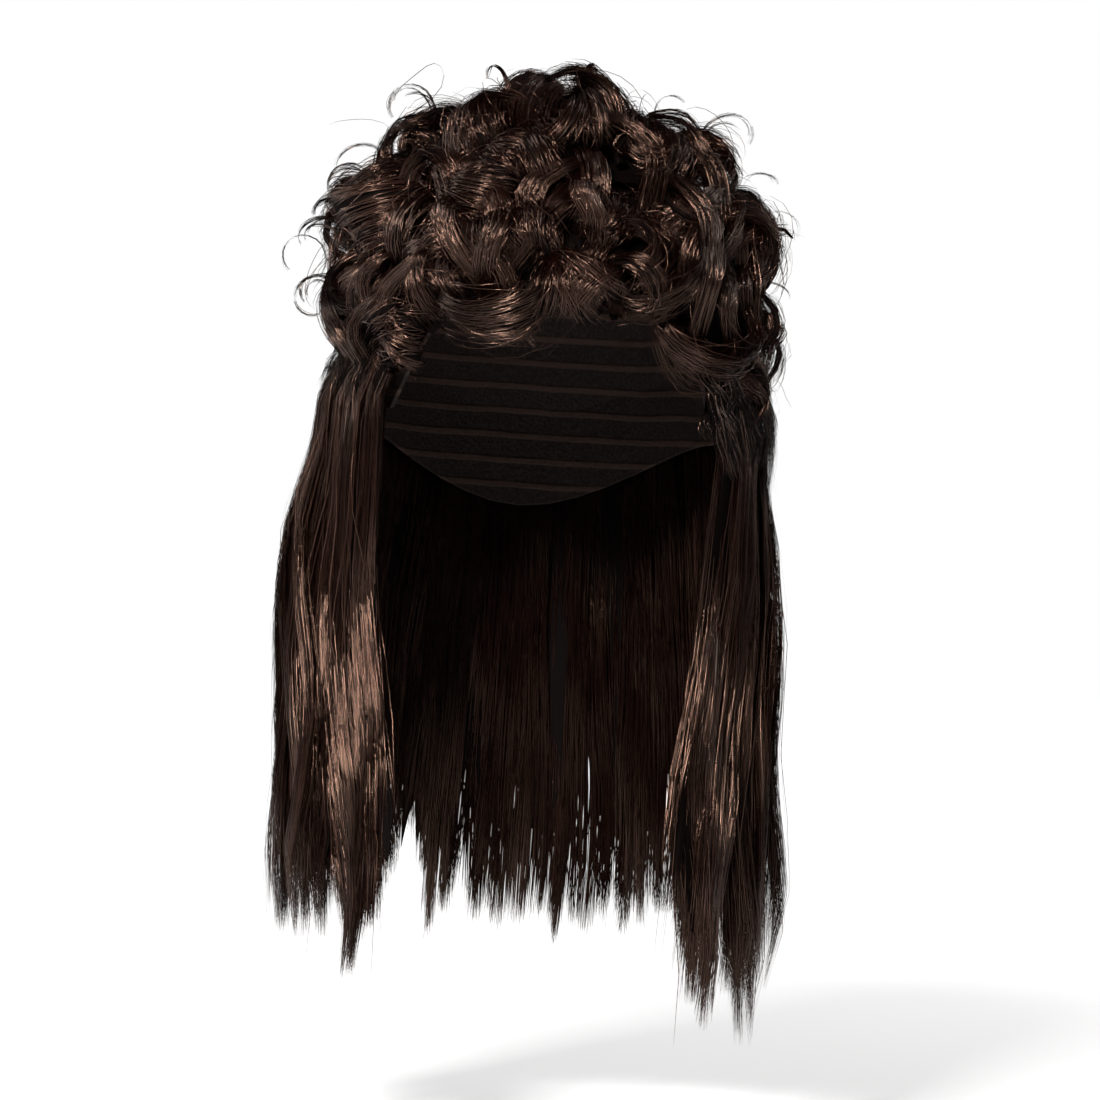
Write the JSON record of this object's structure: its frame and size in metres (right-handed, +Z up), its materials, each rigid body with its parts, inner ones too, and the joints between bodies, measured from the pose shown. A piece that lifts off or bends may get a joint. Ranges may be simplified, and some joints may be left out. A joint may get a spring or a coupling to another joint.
{
  "type": "mullet wig",
  "caption": "Dark brown synthetic mullet wig: loose glossy curls over the crown and fringe, long straight lengths at the sides and back, on a stretch cap.",
  "frame": {"origin": "inside the cap, where the top of the wearer's head bears on it", "axes": "+Z up, the face looks along -Y, +X to the wearer's left"},
  "size_m": [0.2245, 0.2376, 0.417],
  "materials": {
    "hair": "glossy dark brown synthetic fibre",
    "cap_net": "matte dark stretch knit with sewn weft rows"
  },
  "bodies": {
    "root": {"cap": "cap_net", "fringe_curls": "hair", "right_curls": "hair", "left_curls": "hair", "top_curls": "hair", "back_curls": "hair", "right_side_length": "hair", "right_back_length": "hair", "back_length": "hair", "left_back_length": "hair", "left_side_length": "hair"}
  },
  "joints": []
}
